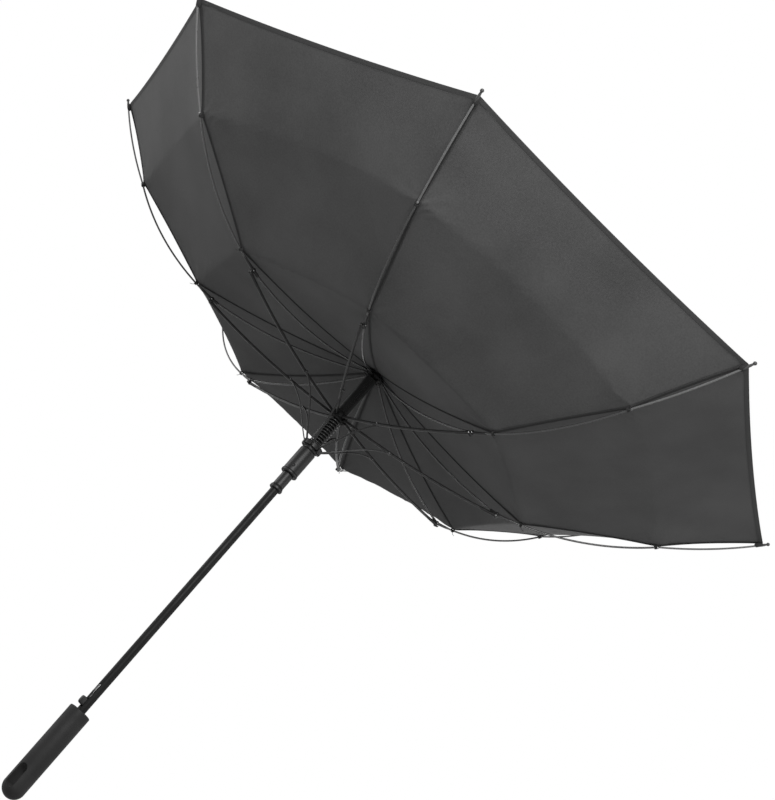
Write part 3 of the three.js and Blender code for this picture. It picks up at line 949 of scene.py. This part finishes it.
def add_rib_inner(i):
    side = sideways(i)
    rod = Shells()
    line = bowed(CROWN_PIVOT, JOINT, INNER_BULGE, 28)
    rod.bar(place(i, line), round_section(RIB_RADIUS), side, end_radius=0.0008)
    piece = rod.make(f"rib_inner_rod_{i + 1}", RIB_LACQUER)
    finish_piece(piece, f"rib_inner_{i + 1}", "rib_black", f"rib_inner_{i + 1}")
    straighten(piece, i, CROWN_PIVOT, JOINT)
    fittings = Shells()
    fittings.turned(drum(0.0026, 0.0028), spot(i, CROWN_PIVOT), side, 24)
    fittings.turned(drum(0.0040, 0.0032, 0.0008), spot(i, JOINT), side, 32)
    fittings.turned(drum(0.0030, 0.0032, 0.0006), spot(i, PIN), side, 32)
    before = unit(line[-1] - line[-2])
    sleeve = place(i, [line[-1] - before * d for d in (0.013, 0.011, 0.003, 0.0)])
    fittings.bar(sleeve, round_section(0.0023), side, 0, [0.8, 1, 1, 1])
    add_rivet(fittings, spot(i, JOINT), side, 0.0015, 0.0024, 1)
    piece = fittings.make(f"rib_joint_{i + 1}", BLACK_PLASTIC, BRIGHT_STEEL)
    finish_piece(piece, f"rib_inner_{i + 1}", "rib_black")


def add_tie(shells, centre, along, side, slot):
    """Three turns of thread round the rod and the seam."""
    normal = np.cross(along, side)
    for shift in (-0.0011, 0.0, 0.0011):
        turn = np.linspace(0, 2 * np.pi, 21)[:-1]
        up, out = 0.0034 * np.cos(turn)[:, None] * normal, 0.0030 * np.sin(turn)[:, None] * side
        loop = centre + along * shift + up + out
        shells.bar(loop, round_section(0.00055, 8), along, slot, loop=True)


def add_rib_mid(i):
    side = sideways(i)
    points = rib_points(i)
    line = bowed(points["joint"], points["outer_tie"], MID_BULGE, 40)
    whole = length_of(line)
    tie_distance = norm(points["inner_tie"] - points["joint"])
    shells = Shells()
    shells.bar(span(i, line, 0.0035, whole, 40), round_section(ROD_RADIUS), side)
    lug = span(i, line, 0.003, tie_distance - 0.012, 6)
    shells.bar(lug, flat_section(0.0046, 0.0034), side, 1, [1, 1, 0.95, 0.9, 0.85, 0.72])
    shells.turned(drum(0.0024, 0.0034), spot(i, points["outer_tie"]), side, 24)
    tied, after = along_line(line, [tie_distance, tie_distance + 0.002])
    last_spot = along_line(line, whole - 0.0035)[0]
    for centre, direction in ((tied, unit(after - tied)), (last_spot, unit(line[-1] - line[-2]))):
        lifted = centre - right_of(direction) * 0.0009
        add_tie(shells, spot(i, lifted), spot(i, direction), side, 2)
    loose = [
        tied + right_of(unit(after - tied)) * down + (after - tied) * on
        for down, on in ((0.002, 0.0), (0.004, 0.6), (0.006, 1.6), (0.0075, 3.1))
    ]
    shells.bar(place(i, loose), round_section(0.0004, 6), side, 2)
    piece = shells.make(f"rib_mid_rod_{i + 1}", RIB_LACQUER, STRETCHER_GREY, THREAD)
    finish_piece(piece, f"rib_mid_{i + 1}", "rib_black", f"rib_mid_{i + 1}")
    straighten(piece, i, points["joint"], points["outer_tie"])


def add_rib_outer(i):
    side = sideways(i)
    points = rib_points(i)
    end = points["tip"] + unit(points["tip"] - points["outer_tie"]) * TIP_OVERHANG
    line = bowed(points["outer_tie"], end, OUTER_BULGE, 30)
    whole = length_of(line)
    shells = Shells()
    rod = span(i, line, 0.001, whole - 0.002, 26)
    shells.bar(rod, round_section(ROD_RADIUS * 0.93), side)
    cap = span(i, line, whole - 0.0165, whole - 0.0005, 6)
    shells.bar(cap, round_section(0.0021, 16), side, 1, [0.86, 1, 1, 0.95, 0.8, 0.62])
    ahead = line[-1] - line[-2]
    shells.turned(ball(0.0027, 8), spot(i, end), spot(i, ahead), 20, 1)
    lift = spot(i, right_of(unit(ahead)) * 0.0012)
    corner = span(i, line, whole - 0.020, whole - 0.0085, 6) - lift
    shells.bar(corner, flat_section(0.0058, 0.0076), side, 2, [0.72, 0.98, 1, 0.92, 0.8, 0.62])
    piece = shells.make(f"rib_outer_rod_{i + 1}", ROD_GREY, CAP_PLASTIC, SHADED_SEAM_CLOTH)
    finish_piece(piece, f"rib_outer_{i + 1}", "rib_grey", f"rib_outer_{i + 1}")


STRETCHER_LINE = bowed(HUB_PIVOT, PIN, STRETCHER_BULGE, 40)
STRUT_RIVET = along_line(STRETCHER_LINE, STRUT_RIVET_DISTANCE)[0]


def add_stretcher(i):
    side = sideways(i)
    hub, rivet, pin = place(i, [HUB_PIVOT, STRUT_RIVET, PIN], STRETCHER_SIDE)
    whole = length_of(STRETCHER_LINE)
    shells = Shells()
    shells.bar(place(i, STRETCHER_LINE, STRETCHER_SIDE), flat_section(0.0042, 0.0032), side)
    sleeve = span(i, STRETCHER_LINE, whole - 0.027, whole - 0.002, 8, STRETCHER_SIDE)
    shells.bar(sleeve, round_section(0.0024, 16), side, 1, [0.86, 1, 1, 1, 1, 1.04, 1.08, 1.08])
    shells.turned(drum(0.0023, 0.0030), hub, side, 24)
    shells.turned(drum(0.0026, 0.0032), rivet, side, 24)
    shells.turned(drum(0.0032, 0.0032, 0.0007), pin, side, 28, 1)
    add_rivet(shells, pin, side, 0.0016, 0.0025, 2)
    add_rivet(shells, rivet, side, 0.0012, 0.0023, 2)
    piece = shells.make(f"stretcher_bar_{i + 1}", STRETCHER_GREY, BLACK_PLASTIC, BRIGHT_STEEL)
    finish_piece(piece, f"stretcher_{i + 1}", "rib_black", f"stretcher_{i + 1}")


def add_strut(i):
    side = sideways(i)
    along = STRUT_RIVET - np.array(RUNNER_PIVOT)
    near = np.array(RUNNER_PIVOT) + along / 3
    far = np.array(RUNNER_PIVOT) + along * 2 / 3 - right_of(unit(along)) * STRUT_BEND
    line = cubic(RUNNER_PIVOT, near, far, STRUT_RIVET, 24)
    shells = Shells()
    shells.bar(place(i, line, STRUT_SIDE), flat_section(0.0018, 0.0028), side)
    for point in (RUNNER_PIVOT, STRUT_RIVET):
        shells.turned(drum(0.0022, 0.0026), spot(i, point, STRUT_SIDE), side, 24)
    add_rivet(shells, spot(i, STRUT_RIVET, STRUT_SIDE), side, 0.0011, 0.0017, 1)
    piece = shells.make(f"strut_strip_{i + 1}", STRETCHER_GREY, BRIGHT_STEEL)
    finish_piece(piece, f"strut_{i + 1}", "bright_steel", f"strut_{i + 1}")


# ---- pieces on the shaft ----
def coil(radius, wire, bottom, top, turns, steps, sides, material, name):
    """A helical spring whose last turns lie flat against its seats."""
    count = int(turns * steps)
    t = np.linspace(0, 1, count + 1)
    dead = 1.0 / turns
    rise = np.clip((t - dead) / (1 - 2 * dead), 0, 1)
    low, high = bottom + wire, top - wire
    flat_turn = 1.8 * wire  # the rise of a turn that lies on its neighbour, pressed a little
    lay = flat_turn * (np.clip(t / dead, 0, 1) + np.clip((t - 1 + dead) / dead, 0, 1))
    turn = 2 * np.pi * turns * t
    spokes = np.stack([np.cos(turn), np.sin(turn), np.zeros_like(turn)], axis=1)
    line = spokes * radius
    line[:, 2] = low + lay + (high - low - 2 * flat_turn) * rise
    shells = Shells()
    shells.bar(line, round_section(wire, sides), spokes, end_radius=wire * 0.5)
    return shells.make(name, material)


def slot_cutters(bottom, top, floor, width, offset):
    """Cutters for the eight notches of a disc, open outwards and past both its faces."""
    reach = 0.03
    centre = (floor + reach / 2, offset, (bottom + top) / 2)
    size = (reach, width, (top - bottom) * 1.4)
    return [block(centre, size, rib_angle(i)) for i in range(RIBS)]


def add_pivot_wire(name, body, z):
    """The ring of wire that a notched disc's eight pivots turn on."""
    wire = Shells()
    wire.bar(level_ring(CROWN_PIVOT[0], z), round_section(0.0006, 8), (0, 0, 1), loop=True)
    finish_piece(wire.make(name, BRIGHT_STEEL), body, "bright_steel")


def add_shaft():
    foot, inner = 0.060, 0.0061
    corners = [(inner, foot), (SHAFT_RADIUS, foot), (SHAFT_RADIUS, SHAFT_TOP), (inner, SHAFT_TOP)]
    piece = turned_piece("shaft_tube", SHAFT_LACQUER, corners, 0.0004)
    slots = ((BUTTON_Z, 0.0150), (CATCH_Z, 0.0250))
    carve(piece, *(
        block((SHAFT_RADIUS, 0, z), (0.007, SHAFT_SLOT_WIDTH, length), BUTTON_ANGLE)
        for z, length in slots
    ))
    finish_piece(piece, "shaft", "shaft_black", "shaft")


def add_handle():
    radius, bore_floor = HANDLE_RADIUS, 0.058
    quarter = np.linspace(0, math.pi / 2, 25)
    dome = [(radius * math.sin(t), radius * (1 - math.cos(t))) for t in quarter]
    top = rounded([
        dome[-1], (radius, HANDLE_TOP), (0.0102, HANDLE_TOP), (0.0096, HANDLE_TOP - 0.0016),
        (BORE_RADIUS, HANDLE_TOP - 0.0020), (BORE_RADIUS, bore_floor), (0, bore_floor),
    ], 0.0024, 8)
    shells = Shells()
    shells.turned([(0, 0)] + dome[1:-1] + top, segments=112)
    piece = shells.make("handle_grip", GRIP_RUBBER)
    slot = Shells()
    half_width, half_straight, centre = 0.0075, 0.0125, 0.031
    outline = []
    for base, start in ((half_straight, 0.0), (-half_straight, math.pi)):
        for t in np.linspace(start, start + math.pi, 17):
            outline.append((half_width * math.cos(t), centre + base + half_width * math.sin(t)))
    count = len(outline)
    ends = [(x, y, z) for x in (-0.03, 0.03) for y, z in outline]
    faces = [[k, (k + 1) % count, count + (k + 1) % count, count + k] for k in range(count)]
    faces += [list(range(count))[::-1], list(range(count, 2 * count))]
    slot.add(ends, faces)
    carve(piece, slot.make("cutter"))
    soften_edges(piece, 0.0006, 3)
    finish_piece(piece, "shaft", "grip", "handle")


def add_button():
    """The thumb tab: a rounded pad standing out of the shaft's slot."""
    shells = Shells()
    stem = [(reach, 0, BUTTON_Z) for reach in (0.0005, 0.006, 0.0105, 0.0135, 0.0150, 0.0158)]
    section = flat_section(0.0130, 0.0050, 28)
    shells.bar(stem, section, (0, 1, 0), 0, [0.98, 1.0, 1.0, 0.95, 0.82, 0.55])
    piece = shells.make("release_tab", BLACK_PLASTIC, sharp_angle=50)
    piece.data.transform(Matrix.Rotation(BUTTON_ANGLE, 4, "Z"))
    soften_edges(piece, 0.0006, 3)
    finish_piece(piece, "release_button", "moulded_black", "release_button")


def add_catch():
    """The runner's catch: a thin sprung leaf with a tooth and one worn edge, on a seat that
    fills the tube."""
    seat = Shells()
    profile = rounded([(0, 0.1750), (0.0057, 0.1750), (0.0057, 0.2035), (0, 0.2035)], 0.0004)
    seat.turned(profile, segments=48)
    finish_piece(seat.make("catch_seat", BLACK_PLASTIC), "shaft", "moulded_black")
    bends = (
        (0.0060, 0.1765), (0.0060, 0.1838), (0.0069, 0.1856),
        (0.0066, 0.1910), (0.0061, 0.1970), (0.0060, 0.1995),
    )
    leaf = np.array([(reach, 0, z) for reach, z in bends])
    shells = Shells()
    shells.bar(leaf, flat_section(0.0005, 0.0050), (0, 1, 0), 0, end_radius=0.0002)
    edge = leaf + (0.0001, 0.0024, 0)
    shells.bar(edge, round_section(0.0003, 10), (0, 1, 0), 1, end_radius=0.0002)
    piece = shells.make("catch_leaf", SPRING_BLACK, WORN_STEEL)
    piece.data.transform(Matrix.Rotation(BUTTON_ANGLE, 4, "Z"))
    finish_piece(piece, "shaft", "bright_steel", "catch_spring")


def add_crown():
    z = CROWN_PIVOT[1]
    low, high = z - 0.004, z + 0.004
    corners = [
        (BORE_RADIUS, low), (0.0155, low), (0.017, z - 0.0025),
        (0.017, z + 0.0025), (0.0155, high), (BORE_RADIUS, high),
    ]
    piece = turned_piece("crown_disc", HUB_PLASTIC, corners, 0.0006)
    carve(piece, *slot_cutters(low, high, 0.0106, 0.0036, 0.0))
    soften_edges(piece, 0.00025)
    finish_piece(piece, "shaft", "moulded_black", "crown_notch")
    add_pivot_wire("crown_wire", "shaft", z)


def add_ferrule():
    foot, roof = 0.8454, SHAFT_TOP + 0.0003
    corners = [
        (BORE_RADIUS, foot), (0.015, foot), (0.0155, foot + 0.002), (0.013, foot + 0.0045),
        (0.0105, foot + 0.009), (0.009, FERRULE_TOP - 0.012), (0.0086, FERRULE_TOP - 0.003),
        (0.006, FERRULE_TOP), (0, FERRULE_TOP),
    ]
    shells = Shells()
    shells.turned([(0, roof), (BORE_RADIUS, roof), *rounded(corners, 0.0016, 5)], segments=72)
    for z in (foot + 0.014, foot + 0.019, foot + 0.024):
        rib_radius = 0.0101 - 0.0011 * (z - foot - 0.009) / 0.036
        ring = level_ring(rib_radius, z, 72)
        shells.bar(ring, round_section(0.0006, 8), (0, 0, 1), loop=True)
    piece = shells.make("ferrule_cap", BLACK_PLASTIC)
    finish_piece(piece, "shaft", "moulded_black", "ferrule")


def add_springs():
    bottom, top = HUB_PIVOT[1] + 0.0085, CROWN_PIVOT[1] - 0.0043
    piece = coil(0.0088, 0.00112, bottom, top, 34, 20, 8, SPRING_BLACK, "buffer_coil")
    finish_piece(piece, "shaft", "spring_black", "buffer_spring")
    bottom, top = RUNNER_PIVOT[1] + 0.0055, HUB_PIVOT[1] - 0.0075
    piece = coil(0.0102, 0.00115, bottom, top, 11, 36, 10, DARK_STEEL, "opening_coil")
    finish_piece(piece, "runner", "bright_steel", "opening_spring")
    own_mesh(piece)


def add_hub():
    z, neck = HUB_PIVOT[1], 0.0108
    low, high = z - 0.004, z + 0.004
    corners = [
        (BORE_RADIUS, z - 0.007), (neck, z - 0.007), (neck, low), (0.0158, low),
        (0.0165, z - 0.003), (0.0165, z + 0.003), (0.0158, high), (neck, high),
        (neck, z + 0.008), (BORE_RADIUS, z + 0.008),
    ]
    piece = turned_piece("hub_collar", HUB_PLASTIC, corners, 0.0007)
    carve(piece, *slot_cutters(low, high, neck, 0.007, -0.0023))
    soften_edges(piece, 0.00025)
    finish_piece(piece, "hub", "moulded_black", "stretcher_hub")


def add_runner():
    foot, z, neck = BARREL_BOTTOM, RUNNER_PIVOT[1], 0.0109
    low, high = z - 0.004, z + 0.004
    corners = [
        (BORE_RADIUS, foot), (0.0135, foot), (0.0143, foot + 0.001), (0.0143, foot + 0.004),
        (0.0135, foot + 0.005), (0.0135, low - 0.006), (0.0115, low - 0.004), (0.0115, low),
        (0.0175, low), (0.0175, high), (neck, high), (neck, z + 0.005), (BORE_RADIUS, z + 0.005),
    ]
    piece = turned_piece("runner_barrel", BLACK_PLASTIC, corners, 0.0008)
    dimple = Shells()
    turn, reach = 0.35, 0.0156
    centre = (reach * math.cos(turn), reach * math.sin(turn), foot + 0.013)
    dimple.turned(ball(0.0034, 12), centre, segments=24)
    cutters = slot_cutters(low, high, neck, 0.0034, STRUT_SIDE)
    carve(piece, *cutters, dimple.make("cutter"))
    soften_edges(piece, 0.00025)
    finish_piece(piece, "runner", "moulded_black", "runner")
    add_pivot_wire("runner_wire", "runner", z)


def add_sleeve():
    low, high = SLEEVE_BOTTOM, BARREL_BOTTOM - 0.0003
    corners = [
        (BORE_RADIUS, low), (0.0104, low), (0.011, low + 0.0008), (0.011, low + 0.0035),
        (0.0093, low + 0.0075), (0.0093, high), (BORE_RADIUS, high),
    ]
    piece = turned_piece("runner_tube", BLACK_PLASTIC, corners, 0.0007, 80)
    finish_piece(piece, "runner", "moulded_black", "runner_sleeve")


add_canopy()
add_seams_and_hem()
for rib in range(RIBS):
    add_rib_inner(rib)
    add_rib_mid(rib)
    add_rib_outer(rib)
    add_stretcher(rib)
    add_strut(rib)
add_shaft()
add_handle()
add_button()
add_catch()
add_crown()
add_ferrule()
add_springs()
add_hub()
add_runner()
add_sleeve()
